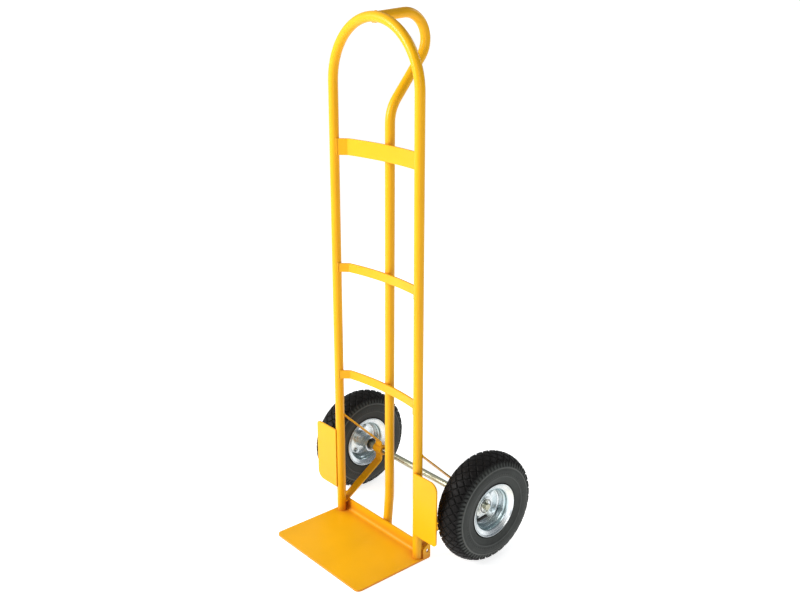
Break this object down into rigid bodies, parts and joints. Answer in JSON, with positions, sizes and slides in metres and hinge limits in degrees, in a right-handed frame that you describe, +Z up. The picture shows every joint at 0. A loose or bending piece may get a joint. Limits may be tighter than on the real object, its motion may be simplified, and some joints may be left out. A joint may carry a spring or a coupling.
{
  "type": "hand truck",
  "caption": "Welded tube hand truck with an arched frame, a looped back handle, flat crossbars, a bent toe plate, wheel guards and air-filled tyres on a through axle.",
  "frame": {"origin": "on the ground under the middle of the truck's bounding box, the truck standing upright on its toe plate and wheels", "axes": "+X to the right seen from the front, +Y towards the wheels and handle at the back, +Z up"},
  "size_m": [0.531, 0.447, 1.2242],
  "materials": {
    "yellow_paint": "glossy warm yellow paint",
    "bright_zinc": "bright bluish zinc plate",
    "axle_zinc": "zinc plate with a faint yellow tint",
    "bearing_steel": "ground steel",
    "seal_rubber": "matt black rubber",
    "tyre_rubber": "satin charcoal rubber",
    "tube_rubber": "smooth black rubber",
    "valve_rubber": "satin black rubber",
    "cap_plastic": "matt black plastic"
  },
  "bodies": {
    "frame": {"frame_hoop": "yellow_paint", "handle_spine": "yellow_paint", "crossbar_top": "yellow_paint", "crossbar_middle": "yellow_paint", "crossbar_lower": "yellow_paint", "toe_plate": "yellow_paint", "wheel_guard_left": "yellow_paint", "bracket_upper_left": "yellow_paint", "bracket_lower_left": "yellow_paint", "axle_boss_left": "yellow_paint", "base_gusset_left": "yellow_paint", "wheel_guard_right": "yellow_paint", "bracket_upper_right": "yellow_paint", "bracket_lower_right": "yellow_paint", "axle_boss_right": "yellow_paint", "base_gusset_right": "yellow_paint", "axle": "axle_zinc", "axle_spacers": "axle_zinc", "axle_washers": "bright_zinc", "split_pins": "axle_zinc", "bearing_inner_races": "bearing_steel"},
    "wheel_left": {"tyre_left": "tyre_rubber", "inner_tube_left": "tube_rubber", "rim_outer_left": "bright_zinc", "rim_inner_left": "bright_zinc", "hub_left": "bright_zinc", "bearing_outer_races_left": "bearing_steel", "bearing_balls_left": "bearing_steel", "bearing_seals_left": "seal_rubber", "rim_bolts_left": "bright_zinc", "rim_nuts_left": "bright_zinc", "valve_stem_left": "valve_rubber", "valve_cap_left": "cap_plastic"},
    "wheel_right": {"tyre_right": "tyre_rubber", "inner_tube_right": "tube_rubber", "rim_outer_right": "bright_zinc", "rim_inner_right": "bright_zinc", "hub_right": "bright_zinc", "bearing_outer_races_right": "bearing_steel", "bearing_balls_right": "bearing_steel", "bearing_seals_right": "seal_rubber", "rim_bolts_right": "bright_zinc", "rim_nuts_right": "bright_zinc", "valve_stem_right": "valve_rubber", "valve_cap_right": "cap_plastic"}
  },
  "joints": [
    {"name": "wheel_left_spin", "type": "hinge", "parent": "frame", "child": "wheel_left", "pos_m": [-0.228, 0.0935, 0.13], "axis": [1, 0, 0], "continuous": true},
    {"name": "wheel_right_spin", "type": "hinge", "parent": "frame", "child": "wheel_right", "pos_m": [0.228, 0.0935, 0.13], "axis": [1, 0, 0], "continuous": true}
  ]
}
